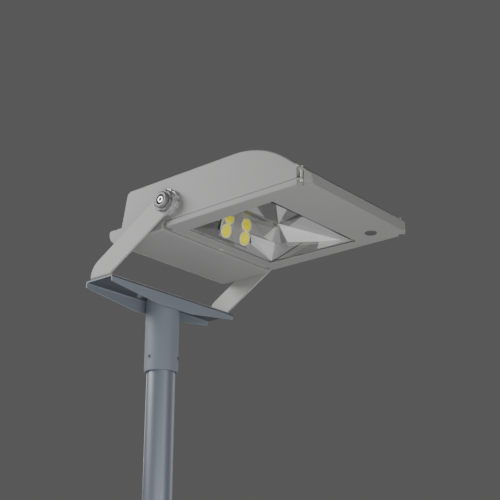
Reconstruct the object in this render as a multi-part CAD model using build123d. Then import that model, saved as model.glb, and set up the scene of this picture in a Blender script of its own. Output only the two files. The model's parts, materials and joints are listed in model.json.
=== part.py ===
from build123d import *
import os
from math import cos, radians, sin, tan

# Flood light on a pole, in millimetres: X to the right, Y to the back, Z up.
# The origin is the centre of the pole's lower end.
# The lamp head is drawn about its tilt axis (local frame) and then set on it.

# Pole, sleeve and clamp screws
pole_d = 76.1
pole_wall = 3.2
turned_off = 0.45
turned_gap = 0.5
traverse_height = 600.0
sleeve_play = 1.45
sleeve_wall = 5.5
sleeve_drop = 204.5
sleeve_edge = 1.5
clamp_screw_d = 10.0
clamp_screw_rise = 36.5
clamp_screw_proud = 1.0
clamp_tip_gap = 0.1
clamp_angles = (60, 180, 300)
screw_edge = 0.8

# Traverse, a folded channel with tapered flanges
traverse_past_arm = 3.0
traverse_t = 4.0
traverse_bend = 7.0
flange_end = 16.5
flange_mid = 38.5
flange_mid_half = 60.0
flange_sweep = 90.0

# Mounting bracket, a bent U
bracket_t = 6.0
bracket_bend = 9.0
foot_half = 36.0
arm_width = 58.7
arm_angle = 30.33
pivot_forward = 223.6
pivot_rise = 152.2
arm_rear_radius = 50.0
arm_front_radius = 10.0
bracket_bolt_d = 8.0
bracket_bolt_x = 75.0
bracket_bolt_y = 14.0
bracket_bolt_af = 13.0
bracket_bolt_head = 5.3
bolt_play = 0.3
washer_r = 8.0
washer_t = 1.6
nut_t = 6.5
thread_end = 2.0
lead_hole_d = 26.0
grommet_lip = 3.0
grommet_lip_t = 2.0
grommet_wall = 4.0

# Tilt joint
pivot_bolt_d = 12.0
pivot_gap = 0.05
lobe_count = 7
lobe_turn = 125.7
lobe_tip_r = 2.0
ring_t = 11.0
ring_r = 34.5
ring_valley_r = 9.0
ring_valley_depth = 4.0
grip_r = 28.8
grip_t = 9.5
grip_valley_r = 8.0
grip_valley_depth = 3.5
grip_edge = 2.0
cap_r = 21.3
cap_t = 17.0
cap_edge = 3.0
cap_floor = 5.0
counterbore_r = 12.9
bolt_head_r = 8.9
bolt_socket = 9.5
pivot_bolt_reach = 28.0
pivot_boss_r = 16.0

# Housing outline in the local frame
head_half = 212.0
wall = 4.0
front_y = -426.4
front_lean = 6.0
rim_z = -45.2
top_z = 71.8
top_front_y = -206.4
top_arc_r = 250.0
slope_angle = 39.5
rear_top_y = 153.2
rear_foot_y = 171.6
rear_foot_z = -21.2
rear_corner_r = 16.0
rear_notch_y = 153.0
rear_notch_z = -40.2
plan_corner_r = 28.0
top_edge_r = 4.0
bulkhead_y = 28.6
rim_t = 6.0
rim_inner = 7.0
parting = 0.6
small_screw_r = 2.0
small_head_r = 3.6
small_head_h = 2.6
small_socket = 2.5
thread_r = 2.05
boss_r = 6.0

# Sunk deck with cooling ribs
deck_sunk = 12.0
deck_side = 10.0
deck_front_y = -352.0
deck_rear_y = 128.0
deck_corner_r = 14.0
rib_t = 3.0
rib_pitch = 22.0
rib_below = 1.5
rib_count = 17

# Door and its hinge
door_t = 16.0
door_floor = 4.0
door_rear_y = 12.6
door_gap = 0.5
door_edge_r = 3.0
door_rear_r = 5.0
lip_end_y = -410.0
lip_gap = 1.5
window_front_y = -291.4
window_front_side = 42.0
window_rear_y = -21.4
window_rear_side = 52.0
window_lip = 1.2
glass_t = 4.0
glass_lap = 7.5
glass_play = 0.5
glass_corner_r = 3.0
gasket_t = 0.5
hinge_y = 16.8
hinge_rise = 4.0
knuckle_r = 3.6
knuckle_side = 40.0
knuckle_web = 1.8
hinge_pin_d = 3.2
hinge_lug = 11.0
centre_lug_half = 7.5
lug_gap = 0.5
seal_side = 9.0
seal_front_y = -415.5
seal_rear_y = 5.6
seal_corner_r = 40.0
seal_rear_r = 8.0
seal_w = 4.8
seal_t = 2.5
seal_play = 0.1
vent_side = 67.0
vent_y = -355.0
vent_r = 15.0
vent_collar = 3.0
vent_mouth = 5.5
vent_edge = 0.8
door_rib_t = 3.0
door_rib_h = 7.0
door_rib_pitch = 50.0
door_rib_count = 6
door_rib_gap = 14.0

# Closing screws in notches at the front corners
notch_side = 2.5
notch_y = -403.7
notch_r = 9.0
notch_top_z = -28.0
slit_front_y = -407.0
slit_rear_y = -395.0
slit_top_z = -18.0
slit_depth = 3.7
door_screw_side = 7.5
door_screw_y = -404.5
door_screw_d = 7.0
door_screw_head_r = 5.2
door_screw_head = 5.0
door_screw_l = 33.0
door_tongue = 3.2
pocket_r = 5.8
screw_boss_side = 7.0
screw_boss_r = 12.5

# Clips that hold the glass
clip_x = 110.0
clip_side_y = 60.0
clip_half = 6.0
clip_t = 1.0
clip_gap = 0.5
clip_foot = 11.5
clip_lap = 4.0
clip_hole_y = 7.0
clip_screw_r = 1.5
clip_head_r = 2.9

# Reflector
sheet = 1.0
glass_gap = 0.3
mirror_side = 47.0
mirror_front_y = -278.0
mirror_rear_y = -32.4
mirror_foot_y = -21.4
ceiling_rear_z = -5.7
star_y = -175.9
star_z = -35.2
side_folds = (-237.4, -174.4, -77.4, -57.4)
front_folds = (53.0, 119.0)
fold_relief = 2.0
rear_joint_x = 123.0
rear_joint_z = -3.2
niche_half = 60.0
niche_top_y = -38.4
niche_top_z = 28.5
niche_mid_z = -8.2
ramp_half = 68.0
ramp_top_z = -34.2
crease_y = -123.4
flange_z = -39.7
flange_side = 22.0
flange_hole_in = 7.0
flange_end_gap = 12.0
crease_t = 0.8
crease_w = 3.0
boss_ys = (-200.0, -70.0)

# Light sources on their carrier
board_r = 18.2
board_t = 1.6
emitter_r = 16.4
emitter_t = 0.5
low_x = 36.5
low_y = -34.4
low_z = -29.7
low_lean = 20.0
high_x = 34.0
high_y = -43.4
high_z = 5.8
high_lean = 8.0
carrier_half = 56.0
carrier_wall = 5.0
carrier_screw_r = 2.5
carrier_edge = 19.0
carrier_low_z = -36.0
carrier_play = 0.3
carrier_foot = 26.0
carrier_screw_x = 44.0
carrier_screw_in = 12.0

# Gear chamber
cover_low_z = -65.2
cover_front_y = 22.0
cover_back_y = 217.6
cover_back_r = 35.0
cover_top_r = 8.0
cover_edge_r = 5.0
cover_front_r = 3.0
cover_screw_side = 62.0
cover_screw_z = -33.0
tray_z = 10.5
cover_screw_d = 5.0
cover_screw_deep = 14.0
cover_screw_l = cover_screw_deep + 16.0
cover_tube_r = 7.0
cover_lug_front = 26.0
cover_lug_top = 16.0
cover_web_top = 24.0
cover_thread = 17.0
cover_lug_half = 8.0
tray_side = 44.0
tray_front_y = 46.0
tray_rear_y = 142.0
tray_t = 1.5
tray_flange = 9.0
tray_boss_side = 60.0
tray_boss_ys = (60.0, 128.0)
driver_end_gap = 56.0
driver_w = 62.0
driver_h = 38.0
driver_edge_r = 4.0
driver_ear = 12.0
driver_ear_t = 2.5
driver_groove_pitch = 9.0
driver_groove_in = 20.0
terminal_l = 42.0
terminal_w = 30.0
terminal_h = 20.0
terminal_pitch = 14.0
terminal_in = 10.0
gland_z = 12.8
gland_thread_r = 10.0
gland_stem = 12.0
gland_hex_r = 13.5
gland_hex_h = 7.0
gland_dome_h = 16.0
gland_dome_edge = 4.0
gland_entry_r = 5.5
gland_nut_t = 4.0
passage_x = 100.0
passage_z = 10.0
passage_r = 9.0

# Levels and places that follow from the dimensions
pole_length = traverse_height - traverse_t
turned_r = pole_d / 2 - turned_off
sleeve_bore = pole_d + 2 * sleeve_play
sleeve_d = sleeve_bore + 2 * sleeve_wall
sleeve_r = sleeve_d / 2
flange_outer = sleeve_r + traverse_t
arm_inner = head_half + ring_t
arm_outer = arm_inner + bracket_t
traverse_half = arm_outer + traverse_past_arm
window_front_half = head_half - window_front_side
window_rear_half = head_half - window_rear_side
seal_half = head_half - seal_side
knuckle_end = head_half - knuckle_side
vent_x = head_half - vent_side
door_screw_x = head_half - door_screw_side
mirror_half = head_half - mirror_side
flange_reach = head_half - flange_side
flange_hole_x = flange_reach - flange_hole_in
cover_screw_x = head_half - cover_screw_side
tray_half = head_half - tray_side
tray_boss_x = head_half - tray_boss_side
tray_mid_y = (tray_front_y + tray_rear_y) / 2
driver_half = tray_half - driver_end_gap
pivot_place = Pos(0, -pivot_forward, traverse_height + pivot_rise)
door_low_z = rim_z - door_t
door_top_z = rim_z - parting
glass_z = door_low_z + window_lip + gasket_t
mirror_low_z = glass_z + glass_t + glass_gap
hinge_z = door_low_z + hinge_rise
UP = (Align.CENTER, Align.CENTER, Align.MIN)


def post(radius, height):
    """Upright cylinder that stands on its own origin."""
    return Cylinder(radius, height, align=UP)


def rod_x(radius, x0, x1, y, z):
    """Cylinder along X from x0 to x1."""
    return Pos(x0, y, z) * Rot(0, 90, 0) * post(radius, x1 - x0)


def block(x0, x1, y0, y1, z0, z1):
    """Box between two corners."""
    middle = Pos((x0 + x1) / 2, (y0 + y1) / 2, (z0 + z1) / 2)
    return middle * Box(x1 - x0, y1 - y0, z1 - z0)


def outline(*points):
    """Flat face with straight sides."""
    return make_face(Polyline(*points, close=True))


def across(face, x0, x1):
    """Side view (y, z) drawn out along X."""
    return Pos(x0, 0, 0) * extrude(Plane.YZ * face, amount=x1 - x0)


def upward(face, z0, z1):
    """Plan view (x, y) drawn out along Z."""
    return Pos(0, 0, z0) * extrude(face, amount=z1 - z0)


def twin(piece):
    """The piece and its mirror image, left and right."""
    return [piece, mirror(piece, about=Plane.YZ)]


def lobed(radius, valley_r, depth):
    """Round face with hand-grip valleys, in side view."""
    face = Circle(radius)
    reach = radius - depth + valley_r
    for index in range(lobe_count):
        angle = radians(lobe_turn + 360 / lobe_count * index)
        face -= Pos(reach * cos(angle), reach * sin(angle)) * Circle(valley_r)
    return fillet(face.vertices(), lobe_tip_r)


def hexagon(across_flats, height):
    """Hexagonal prism that stands on its own origin."""
    return extrude(RegularPolygon(across_flats / 2, 6, major_radius=False), height)


def collar_ring(hole_r, bore_r, groove):
    """Rubber ring with a lip on each side of a groove that starts at its origin."""
    lip = post(hole_r + grommet_lip, grommet_lip_t)
    ring = post(hole_r, groove) + Pos(0, 0, groove) * lip + Pos(0, 0, -grommet_lip_t) * lip
    return ring - Pos(0, 0, -grommet_lip_t) * post(bore_r, groove + 2 * grommet_lip_t)


def rounded_plan(half, y0, y1, front_r, rear_r):
    """Rectangle in plan with its front and rear corners rounded."""
    face = outline((-half, y0), (half, y0), (half, y1), (-half, y1))
    corners = face.vertices().sort_by(Axis.Y)
    face = fillet(corners[:2], front_r)
    return fillet(face.vertices().sort_by(Axis.Y)[-2:], rear_r)


def socket_screw(head_r, head_h, shank_r, shank_l, socket):
    """Socket head screw: head above its origin, shank below."""
    head = chamfer(post(head_r, head_h).edges().sort_by(Axis.Z)[-1], 0.12 * head_r)
    key = Pos(0, 0, 0.4 * head_h) * hexagon(socket, head_h)
    return head - key + Pos(0, 0, -shank_l) * post(shank_r, shank_l)


# Pole


def make_pole():
    """Tube, turned true where the sleeve covers it."""
    tube = post(pole_d / 2, traverse_height - sleeve_drop - turned_gap)
    tube += post(turned_r, pole_length)
    return tube - post(pole_d / 2 - pole_wall, pole_length)


# Turning bracket


def make_sleeve():
    tube = post(sleeve_r, sleeve_drop - traverse_t)
    tube = chamfer(tube.edges().sort_by(Axis.Z)[0], sleeve_edge)
    tube = chamfer(tube.edges().sort_by(Axis.Z)[-1], traverse_bend - traverse_t)
    tube -= post(sleeve_bore / 2, sleeve_drop)
    for angle in clamp_angles:
        hole = Rot(0, 0, angle) * Pos(0, 0, clamp_screw_rise) * Rot(0, 90, 0)
        tube -= hole * post(clamp_screw_d / 2 + pivot_gap, sleeve_d)
    return Pos(0, 0, traverse_height - sleeve_drop) * tube


def make_set_screws():
    tip = turned_r + clamp_tip_gap
    length = sleeve_r + clamp_screw_proud - tip
    screw = chamfer(post(clamp_screw_d / 2, length).edges(), screw_edge)
    screw -= Pos(0, 0, length / 2) * hexagon(clamp_screw_d / 2, length)
    level = traverse_height - sleeve_drop + clamp_screw_rise
    return [Rot(0, 0, angle) * Pos(tip, 0, level) * Rot(0, 90, 0) * screw for angle in clamp_angles]


def make_traverse():
    side = outline(
        (-flange_outer, -flange_mid),
        (-flange_outer, 0),
        (flange_outer, 0),
        (flange_outer, -flange_mid),
    )
    side = fillet(side.vertices().sort_by(Axis.Y)[-2:], traverse_bend)
    inside = outline(
        (-sleeve_r, -flange_mid - 1),
        (-sleeve_r, -traverse_t),
        (sleeve_r, -traverse_t),
        (sleeve_r, -flange_mid - 1),
    )
    inside = fillet(inside.vertices().sort_by(Axis.Y)[-2:], traverse_bend - traverse_t)
    channel = across(side - inside, -traverse_half, traverse_half)
    front = outline(
        (-traverse_half, 0),
        (traverse_half, 0),
        (traverse_half, -flange_end),
        (flange_mid_half, -flange_mid),
        (-flange_mid_half, -flange_mid),
        (-traverse_half, -flange_end),
    )
    front = fillet(front.vertices().sort_by(Axis.Y)[:2], flange_sweep)
    taper = extrude(Plane.XZ * front, amount=sleeve_d, both=True)
    plate = channel & taper
    for x in (-bracket_bolt_x, bracket_bolt_x):
        for y in (-bracket_bolt_y, bracket_bolt_y):
            plate -= Pos(x, y, -2 * traverse_t) * post(bracket_bolt_d / 2 + bolt_play, 3 * traverse_t)
    plate -= Pos(0, 0, -2 * traverse_t) * post(lead_hole_d / 2, 3 * traverse_t)
    return Pos(0, 0, traverse_height) * plate


def arm_outline():
    """Side view of the bracket, from its foot to the round end at the pivot."""
    across_y = sin(radians(arm_angle))
    across_z = cos(radians(arm_angle))
    middle = -across_y * pivot_forward + across_z * pivot_rise
    front_z = (middle - arm_width / 2 + across_y * foot_half) / across_z
    rear_z = (middle + arm_width / 2 - across_y * foot_half) / across_z
    half = arm_width / 2
    face = outline(
        (-foot_half, 0),
        (-foot_half, front_z),
        (-pivot_forward - half * across_y, pivot_rise - half * across_z),
        (-pivot_forward + half * across_y, pivot_rise + half * across_z),
        (foot_half, rear_z),
        (foot_half, 0),
    )
    upper_foot = face.vertices().sort_by_distance((foot_half, rear_z))[0]
    face = fillet(upper_foot, arm_rear_radius)
    lower_foot = face.vertices().sort_by_distance((-foot_half, front_z))[0]
    face = fillet(lower_foot, arm_front_radius)
    return face + Pos(-pivot_forward, pivot_rise) * Circle(half)


def make_bracket():
    tall = pivot_rise + arm_width
    outer = outline((-arm_outer, 0), (arm_outer, 0), (arm_outer, tall), (-arm_outer, tall))
    outer = fillet(outer.vertices().sort_by(Axis.Y)[:2], bracket_bend)
    inner = outline(
        (-arm_inner, bracket_t),
        (arm_inner, bracket_t),
        (arm_inner, tall + 1),
        (-arm_inner, tall + 1),
    )
    inner = fillet(inner.vertices().sort_by(Axis.Y)[:2], bracket_bend - bracket_t)
    sheet_u = extrude(Plane.XZ * (outer - inner), amount=2 * pivot_forward, both=True)
    bracket = sheet_u & across(arm_outline(), -arm_outer, arm_outer)
    hole = pivot_bolt_d / 2 + pivot_gap
    bracket -= rod_x(hole, -arm_outer - 1, arm_outer + 1, -pivot_forward, pivot_rise)
    for x in (-bracket_bolt_x, bracket_bolt_x):
        for y in (-bracket_bolt_y, bracket_bolt_y):
            bracket -= Pos(x, y, -1) * post(bracket_bolt_d / 2 + bolt_play, bracket_t + 2)
    bracket -= Pos(0, 0, -1) * post(lead_hole_d / 2, bracket_t + 2)
    return Pos(0, 0, traverse_height) * bracket


def make_lead_grommet():
    ring = collar_ring(lead_hole_d / 2, lead_hole_d / 2 - grommet_wall, bracket_t + traverse_t)
    return Pos(0, 0, traverse_height - traverse_t) * ring


def bracket_fixing():
    """Bolts with heads up, washers under the heads and nuts under the traverse."""
    bolts = []
    washers = []
    nuts = []
    bolt_r = bracket_bolt_d / 2
    shank_l = bracket_t + traverse_t + washer_t + nut_t + thread_end
    bolt = hexagon(bracket_bolt_af, bracket_bolt_head) + Pos(0, 0, -shank_l) * post(bolt_r, shank_l)
    washer = post(washer_r, washer_t) - post(bolt_r + pivot_gap, washer_t)
    nut = hexagon(bracket_bolt_af, nut_t) - post(bolt_r + pivot_gap, nut_t)
    top = traverse_height + bracket_t
    for x in (-bracket_bolt_x, bracket_bolt_x):
        for y in (-bracket_bolt_y, bracket_bolt_y):
            bolts.append(Pos(x, y, top + washer_t) * bolt)
            washers.append(Pos(x, y, top) * washer)
            nuts.append(Pos(x, y, traverse_height - traverse_t - nut_t) * nut)
    return bolts, washers, nuts


# Tilt joint


def make_index_ring():
    """Lobed ring between arm and housing."""
    ring = across(lobed(ring_r, ring_valley_r, ring_valley_depth), head_half, arm_inner)
    ring = chamfer(ring.faces().sort_by(Axis.X)[-1].outer_wire().edges(), screw_edge)
    return ring - rod_x(pivot_bolt_d / 2 + pivot_gap, head_half - 1, arm_inner + 1, 0, 0)


def make_pivot_cap():
    """Lobed cap with a round face, counterbored for the bolt."""
    grip = across(lobed(grip_r, grip_valley_r, grip_valley_depth), arm_outer, arm_outer + grip_t)
    grip = fillet(grip.faces().sort_by(Axis.X)[-1].outer_wire().edges(), grip_edge)
    face = rod_x(cap_r, arm_outer, arm_outer + cap_t, 0, 0)
    face = chamfer(face.edges().sort_by(Axis.X)[-1], cap_edge)
    cap = grip + face
    cap -= rod_x(counterbore_r, arm_outer + cap_floor, arm_outer + cap_t + 1, 0, 0)
    return cap - rod_x(pivot_bolt_d / 2 + pivot_gap, arm_outer - 1, arm_outer + cap_t, 0, 0)


def make_pivot_bolt():
    reach = arm_outer + cap_floor - (head_half - pivot_bolt_reach)
    screw = socket_screw(bolt_head_r, cap_t - cap_floor - 1, pivot_bolt_d / 2, reach, bolt_socket)
    return Pos(arm_outer + cap_floor, 0, 0) * Rot(0, 90, 0) * screw


# Housing


def housing_outline(foot_z):
    """Side view of the housing, its bottom closed at foot_z."""
    arc_centre = (top_front_y, top_z - top_arc_r)
    lean = tan(radians(front_lean))
    slope = tan(radians(slope_angle))
    arc_y = top_front_y - top_arc_r * sin(radians(slope_angle))
    arc_z = arc_centre[1] + top_arc_r * cos(radians(slope_angle))
    # The leaning front face runs up to the line of the slope.
    nose_z = (arc_z + slope * (front_y - arc_y) - slope * lean * door_low_z) / (1 - slope * lean)
    nose_y = front_y + lean * (nose_z - door_low_z)
    if foot_z < door_low_z:
        start = [(rear_notch_y, foot_z), (front_y, foot_z), (front_y, door_low_z)]
    else:
        start = [(rear_notch_y, foot_z), (front_y + lean * (foot_z - door_low_z), foot_z)]
    front = Polyline(*start, (nose_y, nose_z), (arc_y, arc_z))
    crown = CenterArc(arc_centre, top_arc_r, 90, slope_angle)
    back = Polyline(
        (top_front_y, top_z),
        (rear_top_y, top_z),
        (rear_foot_y, rear_foot_z),
        (rear_notch_y + 4, rear_notch_z),
        (rear_notch_y, foot_z),
    )
    face = make_face([front, crown, back])
    corner = face.vertices().sort_by_distance((rear_top_y, top_z))[0]
    return fillet(corner, rear_corner_r)


def head_plan(inset=0.0):
    """Plan view of the head, with its rounded front corners."""
    return rounded_plan(
        head_half - inset,
        front_y + inset,
        cover_back_y + 20,
        plan_corner_r - inset,
        1.0,
    )


def seal_plan(grow=0.0):
    """Line of the door's seal in plan, grown or shrunk."""
    return rounded_plan(
        seal_half + grow,
        seal_front_y - grow,
        seal_rear_y + grow,
        seal_corner_r + grow,
        seal_rear_r + grow,
    )


def trough(depth, below=0.0):
    """Sunk field of the deck, between its rims."""
    full = housing_outline(rim_z)
    side = offset(full, -below, kind=Kind.INTERSECTION) if below else full
    band = across(side - offset(full, -depth, kind=Kind.INTERSECTION), -head_half, head_half)
    field = rounded_plan(
        head_half - deck_side,
        deck_front_y,
        deck_rear_y,
        deck_corner_r,
        deck_corner_r,
    )
    return band & upward(field, 0.3 * rim_z, top_z + 1)


def make_housing():
    body = across(housing_outline(rim_z), -head_half, head_half) & upward(head_plan(), rim_z, top_z)
    tops = body.edges().filter_by(lambda e: abs(abs(e.center().X) - head_half) < 0.01)
    tops = tops.filter_by(lambda e: e.center().Z > rear_foot_z and e.center().Y > front_y + plan_corner_r)
    body = fillet(tops, top_edge_r)
    body -= trough(deck_sunk)
    body += make_ribs()
    # Chambers, under the deck and behind the walls.
    inner = offset(housing_outline(2 * door_low_z), -wall, kind=Kind.INTERSECTION)
    under_deck = offset(housing_outline(rim_z), -deck_sunk - wall, kind=Kind.INTERSECTION)
    roof = outline(
        (deck_front_y - wall, 0),
        (deck_rear_y + wall, 0),
        (deck_rear_y + wall, top_z),
        (deck_front_y - wall, top_z),
    )
    inner -= roof - under_deck
    cavity = across(inner, wall - head_half, head_half - wall)
    cavity &= upward(head_plan(wall), 2 * door_low_z, top_z)
    cavity -= block(-head_half, head_half, bulkhead_y, bulkhead_y + wall, rim_z, top_z)
    body -= cavity
    # Rim round the door opening.
    rim = upward(head_plan(), rim_z, rim_z + rim_t)
    rim &= block(-head_half, head_half, front_y, bulkhead_y + wall, rim_z, 0)
    rim &= across(housing_outline(rim_z), -head_half, head_half)
    rim -= upward(seal_plan(-rim_inner), rim_z, 0)
    body += rim
    # Front lip, which reaches down before the door.
    lip = across(housing_outline(door_low_z), -head_half, head_half)
    lip &= upward(head_plan() - head_plan(wall), door_low_z, rim_z)
    lip &= block(-head_half, head_half, front_y - 1, lip_end_y, door_low_z, rim_z)
    body += lip
    body += make_bosses()
    body += make_corner_bosses()
    groove = seal_plan(seal_w / 2) - seal_plan(-seal_w / 2)
    body -= upward(groove, rim_z, rim_z + seal_t)
    body += make_hinge_lugs()
    body -= make_housing_holes() + corner_notches(notch_top_z)
    return body


def make_ribs():
    """Cooling ribs that run from front to back in the sunk deck."""
    field = trough(deck_sunk + 1, rib_below)
    ribs = []
    for index in range(rib_count):
        x = (index - (rib_count - 1) / 2) * rib_pitch
        ribs.append(field & block(x - rib_t / 2, x + rib_t / 2, front_y, cover_back_y, rim_z, top_z))
    return ribs


def make_bosses():
    """Bosses for the pivot bolts, reflector, gear tray and cover screws."""
    inside = head_half - wall / 2
    bosses = twin(rod_x(pivot_boss_r, head_half - pivot_bolt_reach, inside, 0, 0))
    for y in boss_ys:
        low = flange_z + sheet
        bosses += twin(block(flange_hole_x - 7, inside, y - boss_r, y + boss_r, low, low + 15))
    deck_under = top_z - deck_sunk - wall / 2
    for y in tray_boss_ys:
        foot = tray_z + tray_t
        bosses += twin(Pos(tray_boss_x, y, foot) * post(boss_r, deck_under - foot))
    x0 = cover_screw_x - cover_lug_half
    x1 = cover_screw_x + cover_lug_half
    lug = block(
        x0,
        x1,
        rear_notch_y - cover_lug_front,
        rear_notch_y + 3,
        cover_screw_z - boss_r,
        cover_screw_z + cover_lug_top,
    )
    web = block(
        x0,
        x1,
        rear_notch_y - boss_r,
        rear_foot_y - wall,
        rear_foot_z,
        cover_screw_z + cover_web_top,
    )
    bosses += twin(lug + web)
    return bosses


def make_corner_bosses():
    """Full corners behind the notches, in which the closing screws are threaded."""
    boss = Pos(head_half - screw_boss_side, notch_y, rim_z) * post(screw_boss_r, top_z - rim_z)
    boss &= across(housing_outline(rim_z), -head_half, head_half)
    boss &= upward(head_plan(), rim_z, top_z)
    return twin(boss)


def corner_notches(top):
    """Round notches in the front corners, from below the door up to a level."""
    low = door_low_z - 1
    return twin(Pos(head_half - notch_side, notch_y, low) * post(notch_r, top - low))


def make_hinge_lugs():
    """Lugs that hang from the rim and hold the hinge pins."""
    side = outline(
        (hinge_y - knuckle_r, rim_z + 1),
        (hinge_y - knuckle_r, hinge_z),
        (hinge_y + knuckle_r, hinge_z),
        (hinge_y + knuckle_r, rim_z + 1),
    )
    side += Pos(hinge_y, hinge_z) * Circle(knuckle_r)
    outer = across(side, knuckle_end + lug_gap, knuckle_end + lug_gap + hinge_lug)
    return twin(outer) + [across(side, -centre_lug_half, centre_lug_half)]


def make_housing_holes():
    deep = head_half - pivot_bolt_reach - 1
    holes = twin(rod_x(pivot_bolt_d / 2 + pivot_gap, deep, head_half + 1, 0, 0))
    for y in boss_ys:
        holes += twin(Pos(flange_hole_x, y, flange_z) * post(thread_r, 12))
    for y in tray_boss_ys:
        holes += twin(Pos(tray_boss_x, y, tray_z) * post(thread_r, 16))
    screw_top = door_top_z - door_tongue + door_screw_l
    shank = post(door_screw_d / 2 + pivot_gap, screw_top - rim_z)
    holes += twin(Pos(door_screw_x, door_screw_y, rim_z) * shank)
    slit = block(
        head_half - slit_depth,
        head_half + 1,
        slit_front_y,
        slit_rear_y,
        notch_top_z - 1,
        slit_top_z,
    )
    holes += twin(slit)
    pin_r = hinge_pin_d / 2 + pivot_gap
    holes += twin(rod_x(pin_r, 1, knuckle_end + hinge_lug, hinge_y, hinge_z))
    thread_y = rear_notch_y - cover_thread
    holes += twin(screw_tube(cover_screw_d / 2 + 0.1, thread_y, rear_notch_y + cover_screw_deep))
    holes.append(gland_seat() * Pos(0, 0, -20) * post(gland_thread_r + pivot_gap, 40))
    holes.append(passage() * Pos(0, 0, -1) * post(passage_r, wall + 2))
    for x, z in carrier_screw_places():
        holes.append(Pos(x, bulkhead_y - 1, z) * Rot(-90, 0, 0) * post(carrier_screw_r + pivot_gap, wall + 2))
    return holes


def passage():
    """Frame on the bulkhead's front face where the leads pass, its Z pointing back."""
    return Pos(passage_x, bulkhead_y, passage_z) * Rot(-90, 0, 0)


def gland_seat():
    """Frame on the housing's rear face, its Z pointing out of the wall."""
    lean = (rear_foot_y - rear_top_y) / (top_z - rear_foot_z)
    y = rear_top_y + lean * (top_z - gland_z)
    return Plane(origin=(0, y, gland_z), x_dir=(1, 0, 0), z_dir=(0, 1, lean)).location


def make_door_seal():
    """Seal in the groove of the rim, standing proud down to the door."""
    ring = seal_plan(seal_w / 2 - seal_play) - seal_plan(seal_play - seal_w / 2)
    return upward(ring, door_top_z, rim_z + seal_t - seal_play)


# Gear chamber


def make_gear_cover():
    side = make_face(
        [
            Polyline(
                (rear_notch_y, rim_z),
                (cover_front_y, rim_z),
                (cover_front_y, cover_low_z),
                (cover_back_y - cover_back_r, cover_low_z),
            ),
            CenterArc(
                (cover_back_y - cover_back_r, cover_low_z + cover_back_r),
                cover_back_r,
                270,
                90,
            ),
            Polyline(
                (cover_back_y, cover_low_z + cover_back_r),
                (cover_back_y, rear_foot_z),
                (rear_foot_y, rear_foot_z),
                (rear_notch_y + 4, rear_notch_z),
                (rear_notch_y, rim_z),
            ),
        ]
    )
    corner = side.vertices().sort_by_distance((cover_back_y, rear_foot_z))[0]
    side = fillet(corner, cover_top_r)
    cover = across(side, -head_half, head_half)
    rims = cover.edges().filter_by(lambda e: abs(abs(e.center().X) - head_half) < 0.01)
    rims = rims.filter_by(lambda e: e.center().Z < cover_low_z + 12)
    cover = fillet(rims, cover_edge_r)
    front = cover.edges().filter_by(Axis.X).filter_by(lambda e: abs(e.center().Y - cover_front_y) < 0.01)
    cover = fillet(front.sort_by(Axis.Z)[0], cover_front_r)
    hollow = offset(side, -wall, kind=Kind.INTERSECTION) + outline(
        (cover_front_y + wall, rim_z + 1),
        (cover_front_y + wall, rim_z - 2 * wall),
        (rear_notch_y - wall, rim_z - 2 * wall),
        (rear_notch_y - wall, rim_z + 1),
    )
    cover -= across(hollow, wall - head_half, head_half - wall)
    for tube in twin(screw_tube(cover_tube_r, rear_notch_y, cover_back_y - 1)):
        cover += tube & across(side, -head_half, head_half)
    head_y = rear_notch_y + cover_screw_deep
    cover -= twin(screw_tube(cover_screw_d + 0.2, head_y, cover_back_y + 1))
    cover -= twin(screw_tube(cover_screw_d / 2 + 0.1, rear_notch_y + 1, cover_back_y + 1))
    return cover


def screw_tube(radius, y0, y1):
    """Cylinder along Y at the right-hand cover screw."""
    return Pos(cover_screw_x, y0, cover_screw_z) * Rot(-90, 0, 0) * post(radius, y1 - y0)


def make_cover_screws():
    screw = socket_screw(0.92 * cover_screw_d, cover_screw_d, cover_screw_d / 2, cover_screw_l, 4)
    head_y = rear_notch_y + cover_screw_deep
    return twin(Pos(cover_screw_x, head_y, cover_screw_z) * Rot(-90, 0, 0) * screw)


def make_gear_tray():
    tray = block(-tray_half, tray_half, tray_front_y, tray_rear_y, tray_z, tray_z + tray_t)
    for y in (tray_front_y, tray_rear_y - tray_t):
        tray += block(-tray_half, tray_half, y, y + tray_t, tray_z - tray_flange, tray_z)
    for y in tray_boss_ys:
        for x in (-tray_boss_x, tray_boss_x):
            tray -= Pos(x, y, tray_z) * post(small_screw_r + bolt_play, tray_t)
    return tray


def make_tray_screws():
    screw = Rot(180, 0, 0) * socket_screw(small_head_r, small_head_h, small_screw_r, 10, small_socket)
    return [Pos(x, y, tray_z) * screw for x in (-tray_boss_x, tray_boss_x) for y in tray_boss_ys]


def make_driver():
    case = Box(2 * driver_half, driver_w, driver_h, align=(Align.CENTER, Align.CENTER, Align.MAX))
    case = fillet(case.edges().filter_by(Axis.X), driver_edge_r)
    end = driver_half + driver_ear
    ear_w = driver_w / 3
    case += block(-end, end, -ear_w, ear_w, -driver_ear_t, 0)
    for x in (-end + driver_ear / 2, end - driver_ear / 2):
        case -= Pos(x, 0, -driver_ear_t) * post(small_screw_r, driver_ear_t)
    for index in range(5):
        y = (index - 2) * driver_groove_pitch
        reach = driver_half - driver_groove_in
        case -= block(-reach, reach, y - 1, y + 1, -driver_h, -driver_h + 1)
    return Pos(0, tray_mid_y, tray_z) * case


def make_terminal_block():
    body = Box(terminal_w, terminal_l, terminal_h, align=(Align.CENTER, Align.CENTER, Align.MAX))
    for y in (-terminal_pitch, 0, terminal_pitch):
        body -= rod_x(small_screw_r, -terminal_w, terminal_w, y, -0.6 * terminal_h)
        body -= Pos(0, y, -terminal_h) * post(small_screw_r + bolt_play, small_head_r)
    return Pos(tray_boss_x - terminal_in, tray_mid_y, tray_z) * body


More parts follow.
